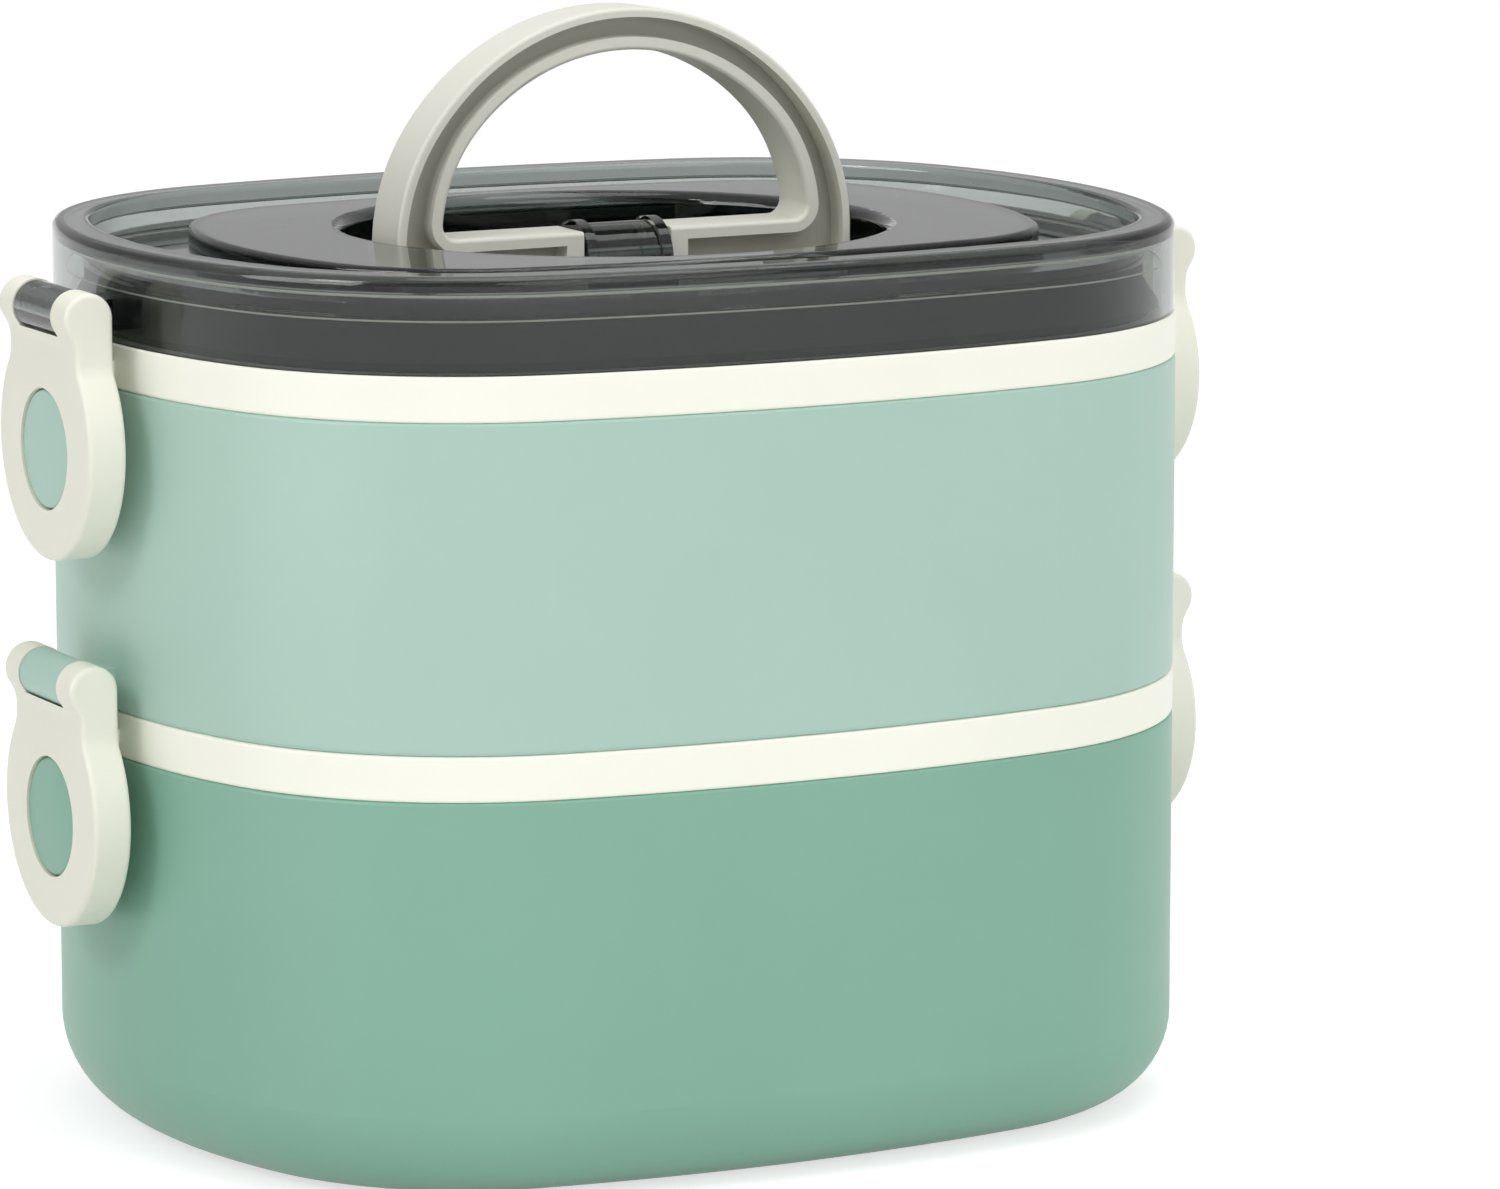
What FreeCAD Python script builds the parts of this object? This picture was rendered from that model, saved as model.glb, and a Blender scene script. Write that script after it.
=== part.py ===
# Two-tier lunch box with a clear lid, a folding handle and four side latches.
# Millimetres. +Z is up, +X runs along the length, the front faces -Y, the origin is the middle of the base.
import FreeCAD
import Part
import os
from FreeCAD import Vector
from math import atan2, cos, pi, sin, sqrt

# Overall sizes
length = 190.0
width = 154.0
lower_shell_height = 67.6
upper_shell_height = 54.4
band_height = 7.6
lid_height = 16.0

# Plan outline, made of tangent arcs
corner_radius = 54.0
front_arc_radius = 280.0
end_arc_radius = 110.0

# Walls and clearances
shell_wall = 2.2
liner_wall = 2.0
liner_clearance = 0.4
floor_clearance = 1.0
seal_clearance = 0.4
base_round = 15.0
upper_inner_round = 8.0
upper_base_round = 0.8
parting_round = 0.6

# Base plug of the upper tier and its seal
base_plug_depth = 6.0
base_plug_wall = 2.0
base_seal_gap = 0.3
seal_width = 3.0
seal_shelf_height = 1.2

# Lid section, given as insets from the plan outline and drops from the top
lid_inset = 0.3
lid_wall = 2.0
land_thickness = 3.0
land_width = 6.4
trough_wall = 1.2
trough_drop = 5.2
trough_width = 16.8
deck_drop = 1.6
lid_plug_depth = 6.0
lid_edge_round = 1.6
land_inner_round = 1.0
deck_edge_round = 1.0
lid_seal_width = 1.5
lid_seal_rise = 1.6
flare_rise = 4.0
flare_clearance = 0.5
sleeve_gap = 0.3

# Well for the handle
deck_margin = 7.1
well_floor_clearance = 0.8
well_lip_round = 2.0

# Handle
handle_well_gap = 3.2
fold_drop = 0.7
crown_lift = 0.2
legs_rise = 3.6
inner_legs_rise = 0.1
handle_depth = 11.0
handle_leg = 8.5
handle_crown = 7.2
handle_inner_round = 2.5
shoulder_share = 0.9
handle_foot_round = 4.5
handle_edge_round = 0.7
groove_depth = 4.5
groove_cove = 2.4
outer_rim = 1.6
inner_rim = 2.2
bar_end_cap = 3.5
lug_half = 8.0
lug_radius = 7.0
lug_cheek = 2.0
lug_waist_drop = 0.7
lug_side_gap = 0.3
handle_pin_radius = 1.2
handle_pin_grip = 2.6

# Latches
latch_gap = 3.7
latch_thickness = 6.7
ear_radius = 4.3
ear_half = 14.7
ear_blend_radius = 6.0
waist_radius = 4.0
belly_radius = 19.8
belly_rise = 1.2
pivot_rise = 5.45
disc_drop = 17.7
latch_edge_round = 0.9
barrel_radius = 4.1
barrel_half = 8.0
barrel_side_gap = 0.3
barrel_under_gap = 0.4
web_half = 4.5
web_rise = 1.8
web_drop = 3.5
latch_pin_radius = 1.2
latch_pin_end = 2.5
pin_recess = 0.3
disc_radius = 9.9
disc_gap = 0.3
disc_thickness = 2.0
disc_sink = 0.3
hook_half = 5.0
hook_height = 2.7
hook_gap = 0.3
hook_wall_gap = 0.6
keeper_half = 5.5
keeper_gap = 0.6
keeper_height = 2.4
keeper_rise = 2.3
keeper_round = 0.5

# Pin fits, as radial clearances
running_fit = 0.05
tight_fit = 0.02

# How far a cutting solid runs past the piece it cuts
reach = 20.0

# Levels that follow from the sizes
half_length = length / 2
half_width = width / 2
lower_joint = lower_shell_height + band_height
upper_shell_top = lower_joint + upper_shell_height
upper_joint = upper_shell_top + band_height
lid_top = upper_joint + lid_height
tier_pitch = upper_joint - lower_joint
mouth_inset = shell_wall + liner_clearance + liner_wall
seal_inset = mouth_inset + seal_clearance
base_plug_inset = seal_inset + seal_width
land_inset = lid_inset + land_width
lid_plug_inset = seal_inset + lid_seal_width
lid_plug_inside = lid_plug_inset + lid_wall
trough_inset = land_inset + trough_width
trough_level = lid_top - trough_drop
deck_level = lid_top - deck_drop
well_radius = half_width - trough_inset - deck_margin
handle_radius = well_radius - handle_well_gap
handle_axis = deck_level - fold_drop - handle_depth / 2
bar_top = handle_axis + handle_depth / 2
bar_bottom = handle_axis - handle_depth / 2
bar_swing = handle_depth / sqrt(2)
crown = handle_axis + handle_radius + crown_lift
spring_level = handle_axis + legs_rise
shoulder_bend = (crown - spring_level) * shoulder_share
inner_half = handle_radius - handle_leg
inner_spring = bar_top + inner_legs_rise
inner_bend = (crown - handle_crown - inner_spring) * shoulder_share
well_floor = handle_axis - bar_swing - well_floor_clearance
latch_back = -half_length - latch_gap
latch_face = latch_back - latch_thickness
pivot_x = latch_back - ear_radius
keeper_reach = latch_gap - keeper_gap


# Plan outline

def plan_centres():
    front = (0.0, half_width - front_arc_radius)
    end = (half_length - end_arc_radius, 0.0)
    run = sqrt(end[0] ** 2 + front[1] ** 2)
    to_front = front_arc_radius - corner_radius
    to_end = end_arc_radius - corner_radius
    along = (run ** 2 + to_front ** 2 - to_end ** 2) / (2 * run)
    side = sqrt(to_front ** 2 - along ** 2)
    unit = ((end[0] - front[0]) / run, (end[1] - front[1]) / run)
    corner_x = front[0] + unit[0] * along + unit[1] * side
    corner_y = front[1] + unit[1] * along - unit[0] * side
    return front, end, (corner_x, corner_y)


def arc(x, y, z, radius, start, stop):
    circle = Part.Circle(Vector(x, y, z), Vector(0, 0, 1), radius)
    return Part.ArcOfCircle(circle, start, stop).toShape()


def outline(inset, z):
    front, end, corner = plan_centres()
    high = atan2(corner[1] - front[1], corner[0] - front[0])
    low = atan2(corner[1] - end[1], corner[0] - end[0])
    bow = front_arc_radius - inset
    turn = corner_radius - inset
    cap = end_arc_radius - inset
    edges = [
        arc(end[0], 0, z, cap, -low, low),
        arc(corner[0], corner[1], z, turn, low, high),
        arc(0, front[1], z, bow, high, pi - high),
        arc(-corner[0], corner[1], z, turn, pi - high, pi - low),
        arc(-end[0], 0, z, cap, pi - low, pi + low),
        arc(-corner[0], -corner[1], z, turn, pi + low, pi + high),
        arc(0, -front[1], z, bow, pi + high, 2 * pi - high),
        arc(corner[0], -corner[1], z, turn, 2 * pi - high, 2 * pi - low),
    ]
    return Part.Wire(edges)


def slab(inset, low, high):
    return Part.Face(outline(inset, low)).extrude(Vector(0, 0, high - low))


def ring(outer_inset, inner_inset, low, high):
    return slab(outer_inset, low, high).cut(slab(inner_inset, low - 1, high + 1))


def frustum(low_inset, low, high_inset, high):
    return Part.makeLoft([outline(low_inset, low), outline(high_inset, high)], True, True)


# Small helpers

def box(x0, x1, y0, y1, z0, z1):
    return Part.makeBox(x1 - x0, y1 - y0, z1 - z0, Vector(x0, y0, z0))


def rod_y(x, z, radius, y0, y1):
    return Part.makeCylinder(radius, y1 - y0, Vector(x, y0, z), Vector(0, 1, 0))


def rod_x(y, z, radius, x0, x1):
    return Part.makeCylinder(radius, x1 - x0, Vector(x0, y, z), Vector(1, 0, 0))


def level_edges(shape, z):
    return [e for e in shape.Edges if abs(e.BoundBox.ZMin - z) < 1e-3 and abs(e.BoundBox.ZMax - z) < 1e-3]


def round_level(shape, z, radius):
    return shape.makeFillet(radius, level_edges(shape, z))


def middle(edge):
    return edge.valueAt((edge.FirstParameter + edge.LastParameter) / 2)


def turned(shape):
    copy = shape.copy()
    copy.rotate(Vector(0, 0, 0), Vector(0, 0, 1), 180)
    return copy


def both_ends(shape):
    return [shape, turned(shape)]


def mirrored(shape):
    return shape.mirror(Vector(0, 0, 0), Vector(1, 0, 0))


# Tiers

def shell(low, high, base_edge):
    outer = round_level(slab(0, low, high), low, base_edge)
    outer = round_level(outer, high, parting_round)
    inner = slab(shell_wall, low + shell_wall, high + 1)
    if base_edge > shell_wall:
        inner = round_level(inner, low + shell_wall, base_edge - shell_wall)
    return outer.cut(inner)


def keeper(band_low):
    low = band_low + keeper_rise
    outer = -half_length - keeper_reach
    root = -half_length + mouth_inset / 2
    block = box(outer, root, -keeper_half, keeper_half, low, low + keeper_height)
    return round_corners(block, keeper_round)


def round_corners(block, radius):
    return block.makeFillet(radius, [e for e in block.Edges if e.BoundBox.XMax < block.BoundBox.XMax - 1e-3])


def liner(floor, band_low, inner_edge):
    band_high = band_low + band_height
    band = slab(0, band_low, band_high)
    band = round_level(band, band_low, parting_round)
    band = round_level(band, band_high, parting_round)
    bowl = slab(shell_wall + liner_clearance, floor, band_low + 1)
    bowl = round_level(bowl, floor, inner_edge + liner_wall)
    hollow = slab(mouth_inset, floor + liner_wall, band_high + 1)
    hollow = round_level(hollow, floor + liner_wall, inner_edge)
    solid = band.fuse([bowl] + both_ends(keeper(band_low))).cut(hollow)
    return solid.removeSplitter()


def lower_shell():
    return shell(0, lower_shell_height, base_round)


def lower_liner():
    inner_edge = base_round - shell_wall - liner_clearance - liner_wall
    return liner(shell_wall + floor_clearance, lower_shell_height, inner_edge)


def upper_shell():
    body = shell(lower_joint, upper_shell_top, upper_base_round)
    low = lower_joint - base_plug_depth
    inside = base_plug_inset + base_plug_wall
    plug = ring(base_plug_inset, inside, low, lower_joint + shell_wall / 2)
    shelf = ring(seal_core_inset(base_plug_inset), inside, low, low + seal_shelf_height)
    body = body.fuse([plug, shelf])
    return with_barrels(body, lower_joint, shell_wall / 2)


def upper_liner():
    return liner(lower_joint + shell_wall + floor_clearance, upper_shell_top, upper_inner_round)


def seal_core_inset(plug_inset):
    return (seal_inset + plug_inset) / 2


def seal(plug_inset, low, high):
    lip = (high - low) / 4
    core = ring(seal_core_inset(plug_inset), plug_inset, low, high)
    lower_lip = ring(seal_inset, plug_inset, low, low + lip)
    upper_lip = ring(seal_inset, plug_inset, low + 2 * lip, low + 3 * lip)
    return core.fuse([lower_lip, upper_lip]).removeSplitter()


def base_seal():
    low = lower_joint - base_plug_depth + seal_shelf_height
    return seal(base_plug_inset, low, lower_joint - base_seal_gap)


# Hinge barrels on the ends, one for each latch

def with_barrels(body, joint, wall_depth):
    pivot_z = joint + pivot_rise
    barrel = rod_y(pivot_x, pivot_z, barrel_radius, -barrel_half, barrel_half)
    wall = -half_length + lid_inset + wall_depth
    web = box(pivot_x, wall, -web_half, web_half, pivot_z - web_drop, pivot_z + web_rise)
    lug = barrel.fuse(web)
    bore = rod_y(pivot_x, pivot_z, latch_pin_radius + running_fit, -reach, reach)
    solid = body.fuse(both_ends(lug))
    for cutter in both_ends(bore):
        solid = solid.cut(cutter)
    return solid.removeSplitter()


# Lid

def lid_body():
    block = slab(lid_inset, upper_joint, lid_top)
    block = round_level(block, lid_top, lid_edge_round)
    trough = slab(land_inset, trough_level, lid_top + 1)
    block = block.cut(trough)
    rims = [e for e in level_edges(block, lid_top) if e.BoundBox.XLength > 0]
    inner = [e for e in rims if inside_plan(e, land_inset)]
    block = block.makeFillet(land_inner_round, inner)
    deck = slab(trough_inset, trough_level - lid_wall / 2, deck_level)
    deck = round_level(deck, deck_level, deck_edge_round)
    return block.fuse(deck)


def inside_plan(edge, inset):
    edge_box = edge.BoundBox
    span = max(abs(edge_box.XMin), abs(edge_box.XMax))
    depth = max(abs(edge_box.YMin), abs(edge_box.YMax))
    return span < half_length - inset + 0.1 and depth < half_width - inset + 0.1


def lid_hollows():
    low = upper_joint - 1
    skirt = lid_inset + lid_wall
    under_land = ring(skirt, land_inset - trough_wall, low, lid_top - land_thickness)
    under_trough = slab(skirt, low, trough_level - lid_wall)
    under_deck = slab(trough_inset + lid_wall, low, deck_level - lid_wall)
    return [under_land, under_trough, under_deck]


def lid_plug():
    low = upper_joint - lid_plug_depth
    wall = ring(lid_plug_inset, lid_plug_inside, low, trough_level - lid_wall / 2)
    shelf = ring(seal_core_inset(lid_plug_inset), lid_plug_inside, low, low + seal_shelf_height)
    return [wall, shelf]


def lid():
    body = lid_body()
    for hollow in lid_hollows():
        body = body.cut(hollow)
    cup_low = well_floor - lid_wall
    cup = Part.makeCylinder(well_radius + lid_wall, deck_level - lid_wall / 2 - cup_low)
    cup.translate(Vector(0, 0, cup_low))
    body = body.fuse(lid_plug() + [cup])
    well = Part.makeCylinder(well_radius, lid_top - well_floor)
    well.translate(Vector(0, 0, well_floor))
    body = body.cut(well).removeSplitter()
    lip = [e for e in level_edges(body, deck_level) if abs(e.BoundBox.XMax - well_radius) < 0.01]
    body = body.makeFillet(well_lip_round, lip)
    body = body.fuse(handle_lug())
    body = with_barrels(body, upper_joint, lid_wall / 2)
    bore = rod_x(0, handle_axis, handle_pin_radius + running_fit, -lug_half - 1, lug_half + 1)
    return body.cut(bore)


def handle_lug():
    post = box(-lug_half, lug_half, -lug_radius, lug_radius, well_floor - lid_wall / 2, handle_axis)
    waist = rod_x(0, handle_axis, lug_radius - lug_waist_drop, -lug_half, lug_half)
    left = rod_x(0, handle_axis, lug_radius, -lug_half, -lug_half + lug_cheek)
    right = rod_x(0, handle_axis, lug_radius, lug_half - lug_cheek, lug_half)
    return post.fuse([waist, left, right]).removeSplitter()


def lid_seal():
    low = upper_joint - lid_plug_depth + seal_shelf_height
    lips_top = upper_joint + lid_seal_rise
    core = seal_core_inset(lid_plug_inset)
    flare = frustum(lid_inset + lid_wall + flare_clearance, lips_top, core, lips_top + flare_rise)
    sleeve = slab(core, lips_top, trough_level - lid_wall - sleeve_gap)
    skirt = flare.fuse(sleeve).cut(slab(lid_plug_inset, lips_top - 1, lid_top))
    return seal(lid_plug_inset, low, lips_top).fuse(skirt).removeSplitter()


# Handle

def arch_face(half, spring, top, shoulder, foot, y):
    rise = top - spring
    run = half - shoulder
    crest = (run ** 2 + rise ** 2 - shoulder ** 2) / (2 * (rise - shoulder))
    crest_z = top - crest
    link = crest - shoulder
    touch_x = run * crest / link
    touch_z = crest_z + (spring - crest_z) * crest / link
    half_turn = atan2(touch_z - spring, touch_x - run) / 2
    side_x = run + shoulder * cos(half_turn)
    side_z = spring + shoulder * sin(half_turn)
    edges = [
        Part.Arc(Vector(-touch_x, y, touch_z), Vector(0, y, top), Vector(touch_x, y, touch_z)).toShape(),
        Part.makeLine(Vector(-half, y, foot), Vector(half, y, foot)),
    ]
    for side in (1, -1):
        low = Vector(side * half, y, spring)
        high = Vector(side * touch_x, y, touch_z)
        edges.append(Part.Arc(low, Vector(side * side_x, y, side_z), high).toShape())
        edges.append(Part.makeLine(Vector(side * half, y, foot), low))
    return Part.Face(Part.Wire(Part.__sortEdges__(edges)))


def outer_loop(inset, y0, y1):
    half = handle_radius - inset
    bend = shoulder_bend - inset
    face = arch_face(half, spring_level, crown - inset, bend, bar_bottom + inset, y0)
    block = face.extrude(Vector(0, y1 - y0, 0))
    return round_feet(block, handle_foot_round - inset)


def inner_loop(outset, y0, y1):
    half = inner_half + outset
    bend = inner_bend + outset
    face = arch_face(half, inner_spring, crown - handle_crown + outset, bend, bar_top - outset, y0)
    block = face.extrude(Vector(0, y1 - y0, 0))
    return round_feet(block, handle_inner_round + outset)


def round_feet(block, radius):
    corners = [e for e in level_edges(block, block.BoundBox.ZMin) if e.BoundBox.XLength < 1e-3]
    return block.makeFillet(radius, corners)


def groove():
    face = -handle_depth / 2
    floor = face + groove_depth
    cap = lug_half + bar_end_cap
    caps = box(-cap, cap, face - reach, reach, bar_bottom - 1, bar_top + 1)
    cutter = outer_loop(outer_rim, face - 1, floor).cut(inner_loop(inner_rim, face - reach, reach)).cut(caps)
    near_inner = inner_loop(inner_rim + inner_rim / 4, face - reach, reach)
    rim = [e for e in cutter.Edges if abs(e.BoundBox.YMin - floor) < 1e-3]
    inner = [e for e in rim if near_inner.isInside(middle(e), 0.01, True)]
    return cutter.makeFillet(groove_cove, inner)


def handle():
    half_depth = handle_depth / 2
    loop = outer_loop(0, -half_depth, half_depth).cut(inner_loop(0, -reach, reach))
    loop = loop.makeFillet(handle_edge_round, [e for e in loop.Edges if e.BoundBox.YLength < 1e-3])
    gap = lug_half + lug_side_gap
    loop = loop.cut(box(-gap, gap, -reach, reach, bar_bottom - 1, bar_top + 1))
    for cutter in both_ends(groove()):
        loop = loop.cut(cutter)
    grip = gap + handle_pin_grip
    bore = rod_x(0, handle_axis, handle_pin_radius + tight_fit, -grip, grip)
    return loop.cut(bore)


def handle_pin():
    half = lug_half + lug_side_gap + handle_pin_grip - pin_recess
    return rod_x(0, handle_axis, handle_pin_radius, -half, half)


# Latches, built on the left end at the joint they close

def front_profile(joint):
    top = joint + pivot_rise + reach
    belly_centre = joint - disc_drop + belly_rise
    hollow_y = ear_half + waist_radius
    link = belly_radius + waist_radius
    rise = sqrt(link ** 2 - hollow_y ** 2)
    waist_z = belly_centre + rise
    belly_y = hollow_y * belly_radius / link
    belly_z = belly_centre + rise * belly_radius / link
    half_turn = atan2(rise, hollow_y) / 2
    neck_y = hollow_y - waist_radius * cos(half_turn)
    neck_z = waist_z - waist_radius * sin(half_turn)

    def point(y, z):
        return Vector(latch_face - reach, y, z)

    bottom = point(0, belly_centre - belly_radius)
    edges = [
        Part.Arc(point(belly_y, belly_z), bottom, point(-belly_y, belly_z)).toShape(),
        Part.makeLine(point(ear_half, top), point(-ear_half, top)),
    ]
    for side in (1, -1):
        waist = point(side * ear_half, waist_z)
        belly = point(side * belly_y, belly_z)
        edges.append(Part.makeLine(point(side * ear_half, top), waist))
        edges.append(Part.Arc(waist, point(side * neck_y, neck_z), belly).toShape())
    return Part.Face(Part.Wire(Part.__sortEdges__(edges)))


def side_profile(joint):
    pivot_z = joint + pivot_rise
    low = joint - disc_drop - belly_radius - reach
    run = pivot_x - latch_face + ear_blend_radius
    link = ear_radius + ear_blend_radius
    drop = sqrt(link ** 2 - run ** 2)
    blend_z = pivot_z - drop
    half_turn = atan2(drop, run) / 2
    mid_x = latch_face - ear_blend_radius * (1 - cos(half_turn))
    mid_z = blend_z + ear_blend_radius * sin(half_turn)

    def point(x, z):
        return Vector(x, -belly_radius - reach, z)

    touch = point(pivot_x - run * ear_radius / link, pivot_z - drop * ear_radius / link)
    plate = point(latch_face, blend_z)
    crest = point(pivot_x, pivot_z + ear_radius)
    back = point(latch_back, pivot_z)
    edges = [
        Part.makeLine(point(latch_face, low), plate),
        Part.Arc(plate, point(mid_x, mid_z), touch).toShape(),
        Part.Arc(touch, crest, back).toShape(),
        Part.makeLine(back, point(latch_back, low)),
        Part.makeLine(point(latch_back, low), point(latch_face, low)),
    ]
    return Part.Face(Part.Wire(Part.__sortEdges__(edges)))


def latch_plate(joint):
    front = front_profile(joint).extrude(Vector(latch_thickness + 2 * reach, 0, 0))
    side = side_profile(joint).extrude(Vector(0, 2 * belly_radius + 2 * reach, 0))
    plate = side.common(front)
    top = joint + pivot_rise
    flat = [e for e in plate.Edges if e.BoundBox.XLength < 1e-3 and e.BoundBox.ZMin < top - 1e-3]
    ends = [e for e in plate.Edges if e.BoundBox.YLength < 1e-3 and e.BoundBox.XLength > 1e-3]
    return plate.makeFillet(latch_edge_round, flat + ends)


def latch(joint):
    pivot_z = joint + pivot_rise
    slot_half = barrel_half + barrel_side_gap
    slot_radius = barrel_radius + barrel_under_gap
    slot = rod_y(pivot_x, pivot_z, slot_radius, -slot_half, slot_half)
    behind = box(pivot_x, latch_back + 1, -slot_half, slot_half, pivot_z - slot_radius, pivot_z + reach)
    keeper_low = joint - band_height + keeper_rise
    hook_top = keeper_low - hook_gap
    nose = -half_length - hook_wall_gap
    root = latch_back - latch_thickness / 4
    hook = box(root, nose, -hook_half, hook_half, hook_top - hook_height, hook_top)
    disc_z = joint - disc_drop
    pocket = rod_x(0, disc_z, disc_radius + disc_gap, latch_face - 1, latch_face + disc_sink + disc_thickness)
    bore = rod_y(pivot_x, pivot_z, latch_pin_radius + tight_fit, -ear_half + latch_pin_end, ear_half + 1)
    body = latch_plate(joint).cut(slot).cut(behind).fuse(hook)
    return body.cut(pocket).cut(bore).removeSplitter()


def latch_disc(joint):
    face = latch_face + disc_sink
    return rod_x(0, joint - disc_drop, disc_radius, face, face + disc_thickness)


def latch_pin(joint):
    low = -ear_half + latch_pin_end + pin_recess
    return rod_y(pivot_x, joint + pivot_rise, latch_pin_radius, low, ear_half - pin_recess)


# One file for each piece

def save(shape, name):
    shape.exportStep("parts/" + name + ".step")


os.makedirs("parts", exist_ok=True)
save(lower_shell(), "lower_shell")
save(lower_liner(), "lower_liner")
save(upper_shell(), "upper_shell")
save(upper_liner(), "upper_liner")
save(base_seal(), "base_seal")
save(lid(), "lid")
save(lid_seal(), "lid_seal")
save(handle(), "handle")
save(handle_pin(), "handle_pin")
for tier, joint in (("upper", upper_joint), ("lower", lower_joint)):
    for make, kind in ((latch, "latch"), (latch_disc, "disc"), (latch_pin, "pin")):
        left = make(joint)
        save(left, tier + "_left_" + kind)
        save(mirrored(left), tier + "_right_" + kind)
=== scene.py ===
from math import atan2, cos, pi, radians, sin, sqrt

import bmesh
import bpy
from bpy.props import FloatProperty, FloatVectorProperty, PointerProperty
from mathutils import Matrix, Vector


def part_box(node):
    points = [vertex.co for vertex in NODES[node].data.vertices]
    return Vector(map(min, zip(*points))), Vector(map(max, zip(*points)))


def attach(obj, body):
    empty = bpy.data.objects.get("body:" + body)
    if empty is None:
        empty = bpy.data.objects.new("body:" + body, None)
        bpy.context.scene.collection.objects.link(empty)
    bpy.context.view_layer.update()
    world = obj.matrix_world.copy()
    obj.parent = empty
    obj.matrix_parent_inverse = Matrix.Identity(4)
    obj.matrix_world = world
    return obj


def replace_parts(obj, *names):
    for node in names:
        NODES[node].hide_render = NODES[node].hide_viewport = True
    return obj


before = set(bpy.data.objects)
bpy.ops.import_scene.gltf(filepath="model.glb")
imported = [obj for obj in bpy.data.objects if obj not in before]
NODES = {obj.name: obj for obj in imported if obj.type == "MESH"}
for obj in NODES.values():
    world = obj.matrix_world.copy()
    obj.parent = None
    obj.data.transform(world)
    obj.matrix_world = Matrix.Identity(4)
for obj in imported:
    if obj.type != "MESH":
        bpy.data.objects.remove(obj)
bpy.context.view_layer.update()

bl_info = {
    "name": "Stacked Lunch Box",
    "version": (1, 0, 0),
    "blender": (4, 5, 0),
    "location": "View3D > Sidebar > Lunch Box",
    "description": "Finishes the packed lunch box: plastics, lid, inlays, seals, pins and stage",
    "category": "Object",
}

TIERS = ("upper", "lower")
SIDES = ("left", "right")
LATCHES = [tier + "_" + side for tier in TIERS for side in SIDES]

# Slot of each tier's green, which is also the name of its colour setting
TIER_SLOTS = {"upper": "light_green", "lower": "dark_green"}

# Range that most values of a noise texture lie in
NOISE_LOW = 0.3
NOISE_HIGH = 0.7

# Plastics
SATIN_IOR = 1.49
SATIN_SPECULAR = 0.25
SATIN_SWING = 0.035
LID_IOR = 1.45
LID_TINT = (0.97, 0.985, 0.98)
# Depth over which the painted shade on the handle's recess floor fades in
RECESS_SHADE_FADE = 0.0004

# Modelling
SMOOTH_ANGLE = radians(50)
RIM_ANGLE = radians(60)
WELD_DISTANCE = 1e-6
INLAY_STEPS = 96
PIN_STEPS = 32
END_STEPS = 8
CORNER_STEPS = 24
FRONT_STEPS = 10
# Corners of the section of the pale rings that are painted highlight lines in the lid
HIGHLIGHT_CORNERS = 8

# Stage
FLOOR_SEGMENTS = 96
FLOOR_TONE = (0.82, 0.82, 0.82)
FLOOR_SHADE = (0.5, 0.5, 0.5, 1.0)
LAMP_TARGET = Vector((0.0, 0.0, 0.08))
SENSOR_WIDTH = 36.0
VIEW_DEPTH = 100.0

# Heights in the sky, as shares of straight up, between which it is dimmer
SKY_WHITE = (1.0, 1.0, 1.0, 1.0)
SKY_ENDS = (0.02, 0.65)
HORIZON_ENDS = (0.08, 0.40)


# Settings a user would change

def colour_setting(name, description, default):
    return FloatVectorProperty(
        name=name, description=description, default=default, size=3, min=0.0, max=1.0,
        subtype="COLOR",
    )


def share_setting(name, description, default):
    return FloatProperty(
        name=name, description=description, default=default, min=0.0, max=1.0, subtype="FACTOR"
    )


def length_setting(name, description, default):
    return FloatProperty(
        name=name, description=description, default=default, min=0.0, subtype="DISTANCE",
        unit="LENGTH",
    )


def power_setting(name, description, default):
    return FloatProperty(
        name=name, description=description, default=default, min=0.0, unit="POWER"
    )


def angle_setting(name, description, default):
    return FloatProperty(name=name, description=description, default=default, subtype="ANGLE")


def plain_setting(name, description, default, lowest=0.0):
    return FloatProperty(name=name, description=description, default=default, min=lowest)


class LunchBoxFinish(bpy.types.PropertyGroup):
    """Colours and finishes of the plastics, the seals and the pins"""

    light_green: colour_setting("Light green", "Upper tier and its inlays", (0.424, 0.610, 0.527))
    dark_green: colour_setting("Dark green", "Lower tier and its inlays", (0.242, 0.456, 0.352))
    cream: colour_setting("Cream", "Liners and their rims", (0.970, 0.975, 0.865))
    latch_cream: colour_setting("Latch cream", "Latches", (0.840, 0.840, 0.730))
    handle_cream: colour_setting("Handle cream", "Carrying handle", (0.740, 0.740, 0.660))
    # Painted shade: a darker tone on the floor of the handle's recess, standing in for the shade
    # that falls there
    handle_recess_shade: colour_setting(
        "Handle recess", "Darker floor of the handle's recess", (0.420, 0.415, 0.365)
    )
    smoke: colour_setting(
        "Smoke", "Colour that is left after light has crossed the lid", (0.40, 0.44, 0.425)
    )
    # Near black: partly the seals' own colour, partly painted shade of the dark inside seen
    # through the lid
    silicone: colour_setting("Silicone", "Sealing rings", (0.035, 0.036, 0.036))
    steel: colour_setting("Steel", "Hinge pins", (0.60, 0.60, 0.61))
    satin: share_setting("Satin roughness", "Roughness of the opaque plastics", 0.40)
    polish: share_setting("Lid roughness", "Roughness of the clear lid", 0.006)
    smoke_density: plain_setting("Smoke density", "Absorption in the lid, per metre", 340.0)
    grain_size: length_setting("Grain size", "Width of the moulded grain", 0.0006)


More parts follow.
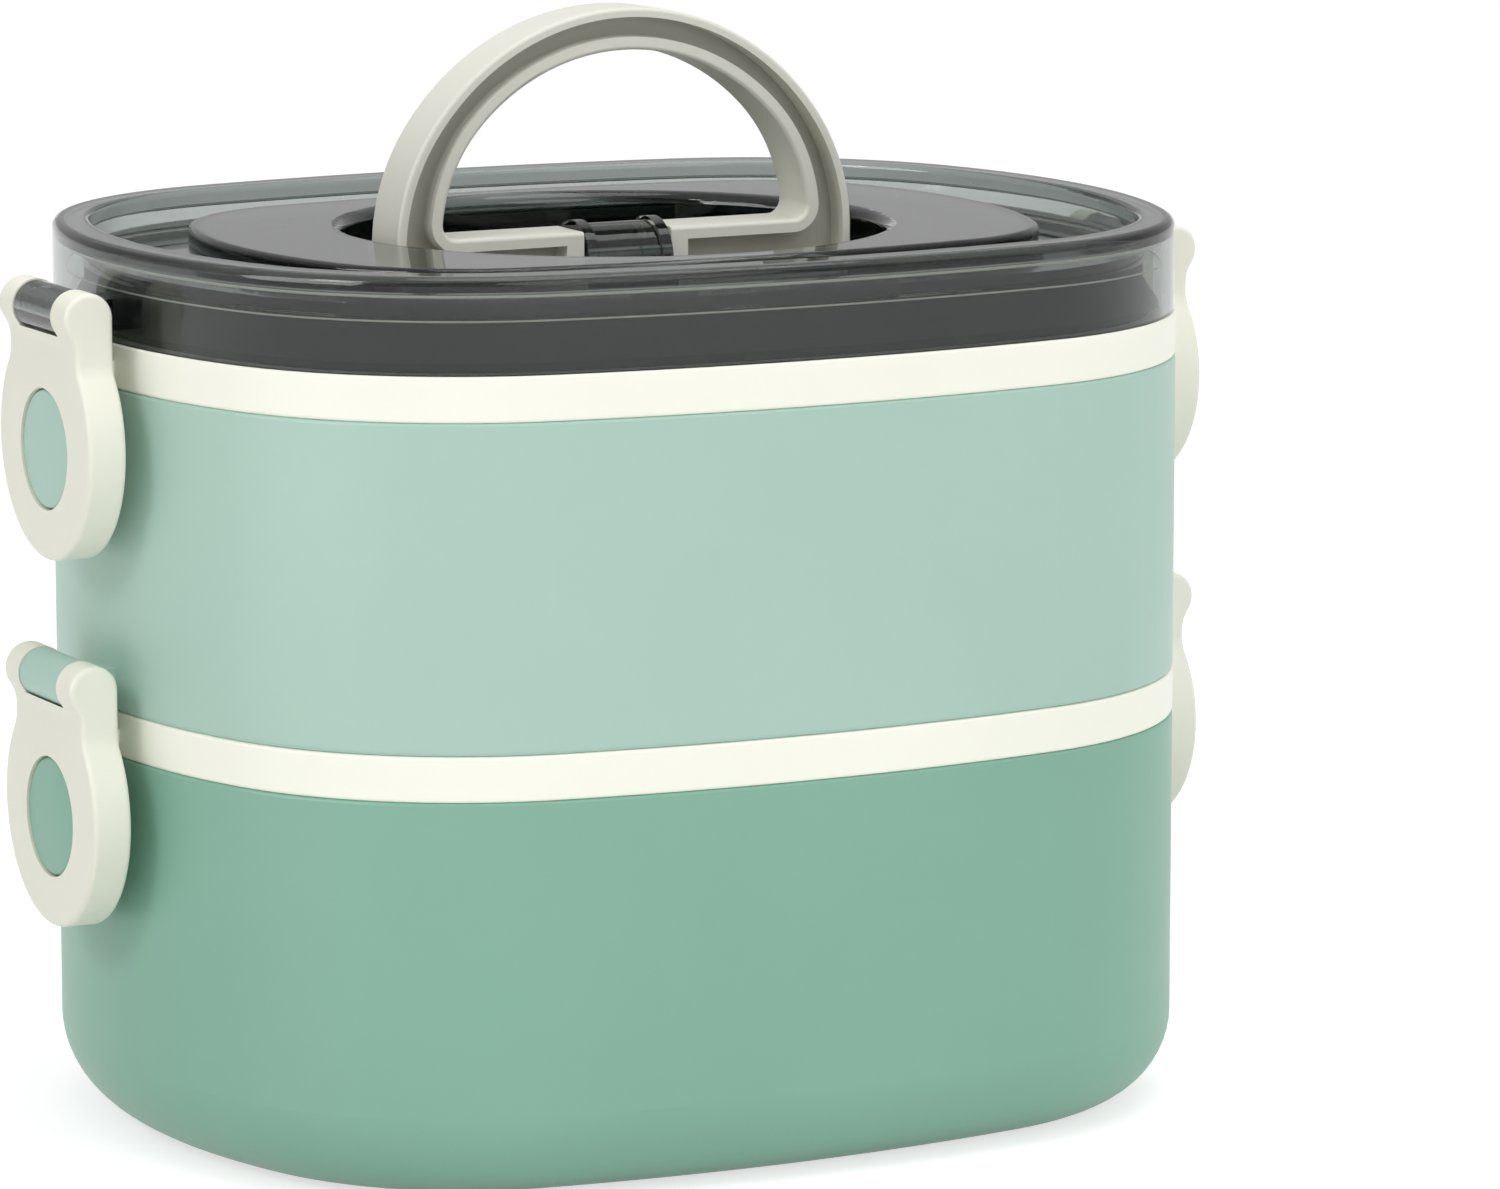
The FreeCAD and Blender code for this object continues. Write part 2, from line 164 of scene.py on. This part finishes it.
class LunchBoxSizes(bpy.types.PropertyGroup):
    """Rounded edges and sections of the pieces modelled here"""

    inlay_round: length_setting("Inlay rim", "Rounding of the inlays' rims", 0.0005)
    # The two beads are pale rings inside the lid's wall that stand as painted highlight lines
    upper_highlight: length_setting(
        "Upper bead", "Radius of the upper bead inside the lid's wall", 0.00024
    )
    upper_highlight_drop: length_setting(
        "Upper bead drop", "Height of the upper bead below the lid's top", 0.0034
    )
    lower_highlight: length_setting(
        "Lower bead", "Radius of the lower bead inside the lid's wall", 0.00016
    )
    lower_highlight_drop: length_setting(
        "Lower bead drop", "Height of the lower bead below the lid's top", 0.0074
    )
    highlight_set: length_setting(
        "Bead place", "How far the beads stand outside the seal's skirt", 0.0002
    )
    handle_edge: length_setting("Handle edge", "Depth of the handle's rounded edges", 0.0008)
    pin_round: length_setting("Pin ends", "Rounding of the pins' ends", 0.0003)
    lip_round: length_setting("Seal lips", "Rounding of the seals' lips", 0.00025)
    base_seal_width: length_setting("Base seal", "Width of the upper tier's seal", 0.0030)
    lid_seal_width: length_setting("Lid seal", "Width of the lid's seal", 0.0015)
    # The lid seal's flare and sleeve rise inside the lid's wall as a near-black sheet, partly
    # painted shade
    lid_seal_rise: length_setting(
        "Lid seal rise", "Height of the lid seal's flare above the rim", 0.0016
    )
    flare_rise: length_setting("Seal flare", "Height of the lid seal's flare", 0.0040)
    front_radius: length_setting("Front arc", "Plan radius of the long sides", 0.280)
    corner_radius: length_setting("Corner arc", "Plan radius of the corners", 0.054)
    end_radius: length_setting("End arc", "Plan radius of the ends", 0.110)


class LunchBoxStage(bpy.types.PropertyGroup):
    """Camera, lamps, sky and floor"""

    camera_place: FloatVectorProperty(
        name="Camera place", description="Where the camera stands",
        default=(-0.5751, -1.1644, 0.3059), size=3, subtype="TRANSLATION", unit="LENGTH",
    )
    heading: angle_setting("Heading", "Turn of the view from straight on", radians(27.315))
    dip: angle_setting("Dip", "How far the view looks down", radians(9.572))
    lens: plain_setting("Lens", "Focal length in millimetres", 183.06, 1.0)
    key_power: power_setting("Key lamp", "Power of the key lamp", 6.0)
    side_power: power_setting("Side lamp", "Power of the side lamp", 4.0)
    gleam_power: power_setting(
        "Gleam panel", "Power of the panel that only shows in reflections", 22.0
    )
    top_power: power_setting("Top lamp", "Power of the top lamp", 8.0)
    sky_level: plain_setting("Sky level", "Brightness of the soft light all round", 0.72)
    horizon_level: share_setting(
        "Horizon level", "Brightness of the band of sky just above the horizon", 0.55
    )
    floor_glow: share_setting("Floor glow", "Brightness of the floor where it is seen", 0.66)
    floor_radius: length_setting("Floor radius", "Radius of the floor", 12.0)


# Materials

def new_material(name):
    material = bpy.data.materials.new(name)
    material.use_nodes = True
    material.node_tree.nodes.clear()
    return material


def add_node(material, kind, **values):
    node = material.node_tree.nodes.new(kind)
    for key, value in values.items():
        setattr(node, key, value)
    return node


def link(material, source, target):
    material.node_tree.links.new(source, target)


def noise(material, scale, detail=2.0, stretch=(1.0, 1.0, 1.0)):
    place = add_node(material, "ShaderNodeTexCoord")
    mapping = add_node(material, "ShaderNodeMapping")
    mapping.inputs["Scale"].default_value = stretch
    texture = add_node(material, "ShaderNodeTexNoise")
    texture.inputs["Scale"].default_value = scale
    texture.inputs["Detail"].default_value = detail
    link(material, place.outputs["Object"], mapping.inputs["Vector"])
    link(material, mapping.outputs["Vector"], texture.inputs["Vector"])
    return texture.outputs["Fac"]


def spread(material, source, low=0.0, high=1.0):
    remap = add_node(material, "ShaderNodeMapRange")
    remap.inputs["From Min"].default_value = NOISE_LOW
    remap.inputs["From Max"].default_value = NOISE_HIGH
    remap.inputs["To Min"].default_value = low
    remap.inputs["To Max"].default_value = high
    link(material, source, remap.inputs["Value"])
    return remap.outputs["Result"]


def toned(material, colour, source, depth):
    mix = add_node(material, "ShaderNodeMix", data_type="RGBA")
    mix.inputs["A"].default_value = [c * (1 - depth) for c in colour] + [1.0]
    mix.inputs["B"].default_value = [min(1.0, c * (1 + depth)) for c in colour] + [1.0]
    link(material, source, mix.inputs["Factor"])
    return mix.outputs["Result"]


def bumped(material, source, distance, strength, before=None):
    bump = add_node(material, "ShaderNodeBump")
    bump.inputs["Strength"].default_value = strength
    bump.inputs["Distance"].default_value = distance
    link(material, source, bump.inputs["Height"])
    if before is not None:
        link(material, before, bump.inputs["Normal"])
    return bump.outputs["Normal"]


def finished(material, shader, volume=None):
    output = add_node(material, "ShaderNodeOutputMaterial")
    link(material, shader.outputs[0], output.inputs["Surface"])
    if volume is not None:
        link(material, volume.outputs[0], output.inputs["Volume"])
    return material


def depth_share(material, source, near, far):
    size = add_node(material, "ShaderNodeMath", operation="ABSOLUTE")
    link(material, source, size.inputs[0])
    remap = add_node(material, "ShaderNodeMapRange", interpolation_type="SMOOTHSTEP")
    remap.inputs["From Min"].default_value = near
    remap.inputs["From Max"].default_value = far
    link(material, size.outputs[0], remap.inputs["Value"])
    return remap.outputs["Result"]


# Paints shade: surfaces that face front and lie deeper than the edge take a darker tone, standing
# in for the shade in a recess
def paint_recess_shade(material, tone, shaded_tone, edge):
    place = add_node(material, "ShaderNodeTexCoord")
    facing = add_node(material, "ShaderNodeSeparateXYZ")
    link(material, place.outputs["Normal"], facing.inputs[0])
    spot = add_node(material, "ShaderNodeSeparateXYZ")
    link(material, place.outputs["Object"], spot.inputs[0])
    floor_share = depth_share(material, facing.outputs["Y"], near=0.02, far=0.45)
    face_share = depth_share(material, spot.outputs["Y"], near=edge - RECESS_SHADE_FADE, far=edge)
    inside = add_node(material, "ShaderNodeMath", operation="SUBTRACT", use_clamp=True)
    link(material, floor_share, inside.inputs[0])
    link(material, face_share, inside.inputs[1])
    mix = add_node(material, "ShaderNodeMix", data_type="RGBA")
    link(material, inside.outputs[0], mix.inputs["Factor"])
    link(material, tone, mix.inputs["A"])
    link(material, shaded_tone, mix.inputs["B"])
    return mix.outputs["Result"]


def moulded_plastic(name, colour, roughness, grain, recess=None):
    material = new_material(name)
    shader = add_node(material, "ShaderNodeBsdfPrincipled")
    shader.inputs["IOR"].default_value = SATIN_IOR
    shader.inputs["Specular IOR Level"].default_value = SATIN_SPECULAR
    cloud = spread(material, noise(material, scale=22.0, detail=3.0))
    streaks = noise(material, scale=9.0, detail=4.0, stretch=(1.0, 1.0, 6.0))
    flow = spread(material, streaks, roughness - SATIN_SWING, roughness + SATIN_SWING)
    tone = toned(material, colour, cloud, depth=0.018)
    # recess holds the colour and edge depth of painted shade on a recess floor
    if recess is not None:
        shade_colour, edge = recess
        tone = paint_recess_shade(material, tone, toned(material, shade_colour, cloud, depth=0.04), edge)
    link(material, tone, shader.inputs["Base Color"])
    link(material, flow, shader.inputs["Roughness"])
    broad = noise(material, scale=60.0, detail=1.0)
    wave = bumped(material, broad, distance=0.0004, strength=0.06)
    pores = noise(material, scale=1.0 / grain, detail=1.0)
    fine = bumped(material, pores, distance=0.00004, strength=0.35, before=wave)
    link(material, fine, shader.inputs["Normal"])
    return finished(material, shader)


def smoky_plastic(name, colour, density, roughness):
    material = new_material(name)
    shader = add_node(material, "ShaderNodeBsdfPrincipled")
    shader.inputs["Transmission Weight"].default_value = 1.0
    shader.inputs["IOR"].default_value = LID_IOR
    cloud = noise(material, scale=30.0, detail=4.0)
    haze = spread(material, cloud, roughness * 0.5, roughness * 1.5)
    link(material, haze, shader.inputs["Roughness"])
    tint = spread(material, noise(material, scale=16.0, detail=2.0))
    link(material, toned(material, LID_TINT, tint, depth=0.01), shader.inputs["Base Color"])
    broad = noise(material, scale=60.0, detail=1.0)
    peel = bumped(material, broad, distance=0.0002, strength=0.01)
    link(material, peel, shader.inputs["Normal"])
    smoke = add_node(material, "ShaderNodeVolumeAbsorption")
    smoke.inputs["Color"].default_value = list(colour) + [1.0]
    smoke.inputs["Density"].default_value = density
    return finished(material, shader, smoke)


def soft_silicone(name, colour):
    material = new_material(name)
    shader = add_node(material, "ShaderNodeBsdfPrincipled")
    cloud = spread(material, noise(material, scale=45.0, detail=3.0))
    link(material, toned(material, colour, cloud, depth=0.05), shader.inputs["Base Color"])
    bloom = spread(material, noise(material, scale=80.0, detail=3.0), low=0.55, high=0.7)
    link(material, bloom, shader.inputs["Roughness"])
    pores = noise(material, scale=1500.0, detail=2.0)
    fine = bumped(material, pores, distance=0.00002, strength=0.04)
    link(material, fine, shader.inputs["Normal"])
    return finished(material, shader)


def drawn_steel(name, colour):
    material = new_material(name)
    shader = add_node(material, "ShaderNodeBsdfPrincipled")
    shader.inputs["Metallic"].default_value = 1.0
    streaks = noise(material, scale=700.0, detail=3.0)
    tone = toned(material, colour, spread(material, streaks), depth=0.08)
    link(material, tone, shader.inputs["Base Color"])
    link(material, spread(material, streaks, low=0.24, high=0.4), shader.inputs["Roughness"])
    scratches = bumped(material, streaks, distance=0.00005, strength=0.2)
    link(material, scratches, shader.inputs["Normal"])
    return finished(material, shader)


def material_named(name, make, *values):
    found = bpy.data.materials.get(name)
    return found if found else make(name, *values)


def satin_plastic(name, colour, finish, recess=None):
    return material_named(
        name, moulded_plastic, colour, finish.satin, finish.grain_size, recess
    )


def tier_plastic(tier, finish):
    return satin_plastic(tier + "_green", getattr(finish, TIER_SLOTS[tier]), finish)


def liner_plastic(finish):
    return satin_plastic("liner_cream", finish.cream, finish)


def dress(node, material):
    mesh = NODES[node].data
    if not mesh.materials:
        mesh.materials.append(material)
    for index in range(len(mesh.materials)):
        mesh.materials[index] = material


# Modelled pieces

def add_piece(name, shape, body, material):
    bmesh.ops.recalc_face_normals(shape, faces=shape.faces)
    mesh = bpy.data.meshes.new(name)
    shape.to_mesh(mesh)
    shape.free()
    mesh.shade_smooth()
    mesh.set_sharp_from_angle(angle=SMOOTH_ANGLE)
    mesh.materials.append(material)
    piece = bpy.data.objects.new(name, mesh)
    bpy.context.scene.collection.objects.link(piece)
    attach(piece, body)
    return piece


def place_piece(name, shape, body, node, material):
    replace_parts(add_piece(name, shape, body, material), node)


def round_edges(shape, width, segments):
    bmesh.ops.remove_doubles(shape, verts=shape.verts, dist=WELD_DISTANCE)
    rims = [edge for edge in shape.edges if edge.calc_face_angle(0.0) > RIM_ANGLE]
    bmesh.ops.bevel(
        shape, geom=rims, offset=width, offset_type="OFFSET", affect="EDGES",
        segments=segments, profile=0.5, material=-1,
    )
    return shape


def rounded_rod(node, axis, rounding, steps):
    low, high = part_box(node)
    middle = (low + high) / 2
    along = Vector([1.0 if index == axis else 0.0 for index in range(3)])
    outward = Vector((0.0, 0.0, 1.0))
    half = (high[axis] - low[axis]) / 2
    radius = (high[2] - low[2]) / 2
    shape = bmesh.new()
    corners = [(0.0, -half), (radius, -half), (radius, half), (0.0, half)]
    verts = [shape.verts.new(middle + outward * r + along * t) for r, t in corners]
    edges = [shape.edges.new(pair) for pair in zip(verts, verts[1:])]
    bmesh.ops.spin(
        shape, geom=verts + edges, cent=middle, axis=along, angle=2 * pi, steps=steps,
        use_merge=True,
    )
    return round_edges(shape, rounding, segments=4)


def plan_arcs(sizes):
    """Centre, angle and steps of each arc round the plan, from the right end"""
    half_length, half_width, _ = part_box("lower_shell")[1]
    front = Vector((0.0, half_width - sizes.front_radius, 0.0))
    end = Vector((half_length - sizes.end_radius, 0.0, 0.0))
    to_front = sizes.front_radius - sizes.corner_radius
    to_end = sizes.end_radius - sizes.corner_radius
    gap = (end - front).length
    along = (gap ** 2 + to_front ** 2 - to_end ** 2) / (2 * gap)
    side = sqrt(to_front ** 2 - along ** 2)
    unit = (end - front) / gap
    corner = front + unit * along + Vector((unit.y, -unit.x, 0.0)) * side
    low = atan2(corner.y - end.y, corner.x - end.x)
    high = atan2(corner.y - front.y, corner.x - front.x)
    quarter = [
        (end, low, END_STEPS),
        (corner, high - low, CORNER_STEPS),
        (front, pi / 2 - high, FRONT_STEPS),
    ]
    flip = Vector((-1.0, 1.0, 1.0))
    mirrored = [(centre * flip, angle, steps) for centre, angle, steps in reversed(quarter)]
    half = quarter + mirrored
    other = [(Vector((-centre.x, -centre.y, 0.0)), angle, steps) for centre, angle, steps in half]
    return half + other


def lip_section(outer, low, high, seal_width):
    lip = (high - low) / 4
    half = seal_width / 2
    corners = [(2, 0), (0, 0), (0, 1), (1, 1), (1, 2), (0, 2), (0, 3), (1, 3), (1, 4)]
    return [(outer - half * depth, low + lip * level) for depth, level in corners]


def swept_ring(section, sizes):
    shape = bmesh.new()
    verts = [shape.verts.new((x, 0.0, z)) for x, z in section]
    edges = [shape.edges.new(pair) for pair in zip(verts, verts[1:] + verts[:1])]
    sweep = verts + edges
    for centre, angle, steps in plan_arcs(sizes):
        made = bmesh.ops.spin(
            shape, geom=sweep, cent=centre, axis=(0, 0, 1), angle=angle, steps=steps
        )
        sweep = made["geom_last"]
    return round_edges(shape, sizes.lip_round, segments=3)


def base_ring(sizes):
    low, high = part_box("base_seal")
    section = lip_section(high.x, low.z, high.z, sizes.base_seal_width)
    section.append((high.x - sizes.base_seal_width, high.z))
    return swept_ring(section, sizes)


# Lips, then a flare and a sleeve up to the top of the seal's part; in near black, the flare and
# sleeve are partly painted shade behind the lid's wall
def lid_ring(sizes):
    low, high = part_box("lid_seal")
    lips_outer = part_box("base_seal")[1].x
    lips_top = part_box("upper_liner")[1].z + sizes.lid_seal_rise
    core = lips_outer - sizes.lid_seal_width / 2
    section = lip_section(lips_outer, low.z, lips_top, sizes.lid_seal_width)
    section.append((high.x, lips_top))
    section.append((core, lips_top + sizes.flare_rise))
    section.append((core, high.z))
    section.append((lips_outer - sizes.lid_seal_width, high.z))
    return swept_ring(section, sizes)


# A pale ring just inside the lid's wall: a painted highlight line
def lid_highlight_ring(drop, radius, sizes):
    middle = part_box("lid_seal")[1].x + sizes.highlight_set
    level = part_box("lid")[1].z - drop
    turns = [index * 2 * pi / HIGHLIGHT_CORNERS for index in range(HIGHLIGHT_CORNERS)]
    section = [(middle + radius * cos(turn), level + radius * sin(turn)) for turn in turns]
    return swept_ring(section, sizes)


# Stage

def seen_directly(tree):
    """Is 1 for rays that come from the camera, a reflection or a clear piece"""
    rays = tree.nodes.new("ShaderNodeLightPath")
    total = rays.outputs["Is Camera Ray"]
    for name in ("Is Glossy Ray", "Is Transmission Ray"):
        larger = tree.nodes.new("ShaderNodeMath")
        larger.operation = "MAXIMUM"
        tree.links.new(total, larger.inputs[0])
        tree.links.new(rays.outputs[name], larger.inputs[1])
        total = larger.outputs[0]
    return total


def make_floor(stage):
    mesh = bpy.data.meshes.new("floor")
    shape = bmesh.new()
    bmesh.ops.create_circle(
        shape, cap_ends=True, segments=FLOOR_SEGMENTS, radius=stage.floor_radius
    )
    shape.to_mesh(mesh)
    shape.free()
    floor = bpy.data.objects.new("floor", mesh)
    bpy.context.scene.collection.objects.link(floor)
    material = new_material("pale_floor")
    lit = add_node(material, "ShaderNodeBsdfDiffuse")
    tone = toned(material, FLOOR_TONE, noise(material, scale=3.0), depth=0.01)
    link(material, tone, lit.inputs["Color"])
    glow = add_node(material, "ShaderNodeEmission")
    glow.inputs["Strength"].default_value = stage.floor_glow
    pale = add_node(material, "ShaderNodeBsdfDiffuse")
    pale.inputs["Color"].default_value = FLOOR_SHADE
    both = add_node(material, "ShaderNodeAddShader")
    link(material, glow.outputs[0], both.inputs[0])
    link(material, pale.outputs[0], both.inputs[1])
    choose = add_node(material, "ShaderNodeMixShader")
    link(material, seen_directly(material.node_tree), choose.inputs["Fac"])
    link(material, lit.outputs[0], choose.inputs[1])
    link(material, both.outputs[0], choose.inputs[2])
    mesh.materials.append(finished(material, choose))


def make_sky(scene, stage):
    world = bpy.data.worlds.new("studio")
    world.use_nodes = True
    tree = world.node_tree
    tree.nodes.clear()
    glow = tree.nodes.new("ShaderNodeBackground")
    place = tree.nodes.new("ShaderNodeTexCoord")
    height = tree.nodes.new("ShaderNodeSeparateXYZ")
    tree.links.new(place.outputs["Generated"], height.inputs[0])
    bands = tree.nodes.new("ShaderNodeValToRGB")
    ramp = bands.color_ramp.elements
    for index, position in enumerate(SKY_ENDS):
        ramp[index].position = position
        ramp[index].color = SKY_WHITE
    for position in HORIZON_ENDS:
        band = ramp.new(position)
        band.color = [stage.horizon_level] * 3 + [1.0]
    tree.links.new(height.outputs["Z"], bands.inputs["Fac"])
    tree.links.new(bands.outputs["Color"], glow.inputs["Color"])
    level = tree.nodes.new("ShaderNodeMapRange")
    level.inputs["To Min"].default_value = stage.sky_level
    tree.links.new(seen_directly(tree), level.inputs["Value"])
    tree.links.new(level.outputs["Result"], glow.inputs["Strength"])
    output = tree.nodes.new("ShaderNodeOutputWorld")
    tree.links.new(glow.outputs[0], output.inputs["Surface"])
    scene.world = world


def make_lamp(name, place, size, power):
    data = bpy.data.lights.new(name, "AREA")
    data.shape = "DISK"
    data.size = size
    data.energy = power
    lamp = bpy.data.objects.new(name, data)
    bpy.context.scene.collection.objects.link(lamp)
    lamp.location = place
    aim = LAMP_TARGET - Vector(place)
    lamp.rotation_mode = "QUATERNION"
    lamp.rotation_quaternion = aim.to_track_quat("-Z", "Y")
    lamp.visible_camera = False
    lamp.visible_transmission = False
    return lamp


def make_camera(scene, stage):
    data = bpy.data.cameras.new("camera")
    data.lens = stage.lens
    data.sensor_width = SENSOR_WIDTH
    data.clip_end = VIEW_DEPTH
    camera = bpy.data.objects.new("camera", data)
    scene.collection.objects.link(camera)
    camera.location = stage.camera_place
    level = cos(stage.dip)
    gaze = Vector((sin(stage.heading) * level, cos(stage.heading) * level, -sin(stage.dip)))
    camera.rotation_mode = "QUATERNION"
    camera.rotation_quaternion = gaze.to_track_quat("-Z", "Y")
    scene.camera = camera


# Operators, one for each group of pieces

class LUNCHBOX_OT_stage(bpy.types.Operator):
    """Sets up the floor, the soft light and the camera"""

    bl_idname = "lunchbox.stage"
    bl_label = "Stage"

    def execute(self, context):
        stage = context.scene.lunchbox_stage
        make_floor(stage)
        make_sky(context.scene, stage)
        make_lamp("key_lamp", place=(0.15, -1.6, 0.8), size=1.2, power=stage.key_power)
        make_lamp("side_lamp", place=(-1.2, -0.35, 0.95), size=0.5, power=stage.side_power)
        make_lamp("top_lamp", place=(0.15, -0.25, 1.5), size=1.2, power=stage.top_power)
        gleam = make_lamp(
            "gleam_panel", place=(-1.5, -0.13, 0.45), size=1.3, power=stage.gleam_power
        )
        gleam.visible_diffuse = False
        make_camera(context.scene, stage)
        context.scene.view_settings.view_transform = "Standard"
        return {"FINISHED"}


class LUNCHBOX_OT_tiers(bpy.types.Operator):
    """Gives the two outer shells their satin greens"""

    bl_idname = "lunchbox.tiers"
    bl_label = "Shells"

    def execute(self, context):
        for tier in TIERS:
            dress(tier + "_shell", tier_plastic(tier, context.scene.lunchbox_finish))
        return {"FINISHED"}


class LUNCHBOX_OT_liners(bpy.types.Operator):
    """Gives the liners and their rims a cream finish"""

    bl_idname = "lunchbox.liners"
    bl_label = "Liners"

    def execute(self, context):
        for tier in TIERS:
            dress(tier + "_liner", liner_plastic(context.scene.lunchbox_finish))
        return {"FINISHED"}


class LUNCHBOX_OT_lid(bpy.types.Operator):
    """Makes the lid smoky and clear, with two thin pale rings inside its wall that are painted
    highlight lines
    """

    bl_idname = "lunchbox.lid"
    bl_label = "Lid"

    def execute(self, context):
        finish = context.scene.lunchbox_finish
        sizes = context.scene.lunchbox_sizes
        smoky = material_named(
            "smoky_lid", smoky_plastic, finish.smoke, finish.smoke_density, finish.polish
        )
        dress("lid", smoky)
        # The liners' cream, used for the two painted highlight lines
        pale = liner_plastic(finish)
        upper_highlight = lid_highlight_ring(sizes.upper_highlight_drop, sizes.upper_highlight, sizes)
        add_piece("lid_bead_upper", upper_highlight, "lid", pale)
        lower_highlight = lid_highlight_ring(sizes.lower_highlight_drop, sizes.lower_highlight, sizes)
        add_piece("lid_bead_lower", lower_highlight, "lid", pale)
        return {"FINISHED"}


class LUNCHBOX_OT_seals(bpy.types.Operator):
    """Models the sealing rings with their lips, in near-black silicone that is partly painted
    shade: the lid seal's flare and sleeve are a dark sheet behind the lid's wall
    """

    bl_idname = "lunchbox.seals"
    bl_label = "Seals"

    def execute(self, context):
        sizes = context.scene.lunchbox_sizes
        silicone = material_named(
            "seal_silicone", soft_silicone, context.scene.lunchbox_finish.silicone
        )
        place_piece(
            "base_seal_ring", base_ring(sizes), "upper_tier", "base_seal", silicone
        )
        place_piece("lid_seal_ring", lid_ring(sizes), "lid", "lid_seal", silicone)
        return {"FINISHED"}


class LUNCHBOX_OT_handle(bpy.types.Operator):
    """Gives the handle its warm cream plastic, with painted shade on the floor of its recess"""

    bl_idname = "lunchbox.handle"
    bl_label = "Handle"

    def execute(self, context):
        finish = context.scene.lunchbox_finish
        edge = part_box("handle")[1].y - context.scene.lunchbox_sizes.handle_edge
        # Painted shade on the recess floor, deeper than the handle's front edge
        recess = (finish.handle_recess_shade, edge)
        dress("handle", satin_plastic("handle_plastic", finish.handle_cream, finish, recess))
        return {"FINISHED"}


class LUNCHBOX_OT_latches(bpy.types.Operator):
    """Gives the latches their cream plastic and models their inlays in the tiers' greens"""

    bl_idname = "lunchbox.latches"
    bl_label = "Latches"

    def execute(self, context):
        finish = context.scene.lunchbox_finish
        rounding = context.scene.lunchbox_sizes.inlay_round
        cream = satin_plastic("latch_plastic", finish.latch_cream, finish)
        for latch in LATCHES:
            body = latch + "_latch"
            disc = latch + "_disc"
            tier = latch.split("_")[0]
            dress(body, cream)
            inlay = rounded_rod(disc, 0, rounding, INLAY_STEPS)
            green = tier_plastic(tier, finish)
            place_piece(latch + "_inlay", inlay, body, disc, green)
        return {"FINISHED"}


class LUNCHBOX_OT_pins(bpy.types.Operator):
    """Models the hinge pins with rounded ends, in drawn steel"""

    bl_idname = "lunchbox.pins"
    bl_label = "Pins"

    def execute(self, context):
        steel = material_named("pin_steel", drawn_steel, context.scene.lunchbox_finish.steel)
        rounding = context.scene.lunchbox_sizes.pin_round
        axle = rounded_rod("handle_pin", 0, rounding, PIN_STEPS)
        place_piece("handle_axle", axle, "handle", "handle_pin", steel)
        for latch in LATCHES:
            pin = latch + "_pin"
            axle = rounded_rod(pin, 1, rounding, PIN_STEPS)
            place_piece(latch + "_axle", axle, latch + "_latch", pin, steel)
        return {"FINISHED"}


OPERATORS = (
    LUNCHBOX_OT_stage,
    LUNCHBOX_OT_tiers,
    LUNCHBOX_OT_liners,
    LUNCHBOX_OT_lid,
    LUNCHBOX_OT_seals,
    LUNCHBOX_OT_handle,
    LUNCHBOX_OT_latches,
    LUNCHBOX_OT_pins,
)


class LUNCHBOX_PT_panel(bpy.types.Panel):
    """Lists the steps and settings of the lunch box"""

    bl_idname = "LUNCHBOX_PT_panel"
    bl_label = "Lunch Box"
    bl_space_type = "VIEW_3D"
    bl_region_type = "UI"
    bl_category = "Lunch Box"

    def draw(self, context):
        scene = context.scene
        for operator in OPERATORS:
            self.layout.operator(operator.bl_idname)
        for group in (scene.lunchbox_finish, scene.lunchbox_sizes, scene.lunchbox_stage):
            box = self.layout.box()
            for name in group.__annotations__:
                box.prop(group, name)


CLASSES = (LunchBoxFinish, LunchBoxSizes, LunchBoxStage) + OPERATORS + (LUNCHBOX_PT_panel,)


def register():
    for item in CLASSES:
        bpy.utils.register_class(item)
    bpy.types.Scene.lunchbox_finish = PointerProperty(type=LunchBoxFinish)
    bpy.types.Scene.lunchbox_sizes = PointerProperty(type=LunchBoxSizes)
    bpy.types.Scene.lunchbox_stage = PointerProperty(type=LunchBoxStage)


def unregister():
    del bpy.types.Scene.lunchbox_stage
    del bpy.types.Scene.lunchbox_sizes
    del bpy.types.Scene.lunchbox_finish
    for item in reversed(CLASSES):
        bpy.utils.unregister_class(item)


def main():
    register()
    bpy.ops.lunchbox.stage()
    bpy.ops.lunchbox.tiers()
    bpy.ops.lunchbox.liners()
    bpy.ops.lunchbox.lid()
    bpy.ops.lunchbox.seals()
    bpy.ops.lunchbox.handle()
    bpy.ops.lunchbox.latches()
    bpy.ops.lunchbox.pins()


if __name__ == "__main__":
    main()
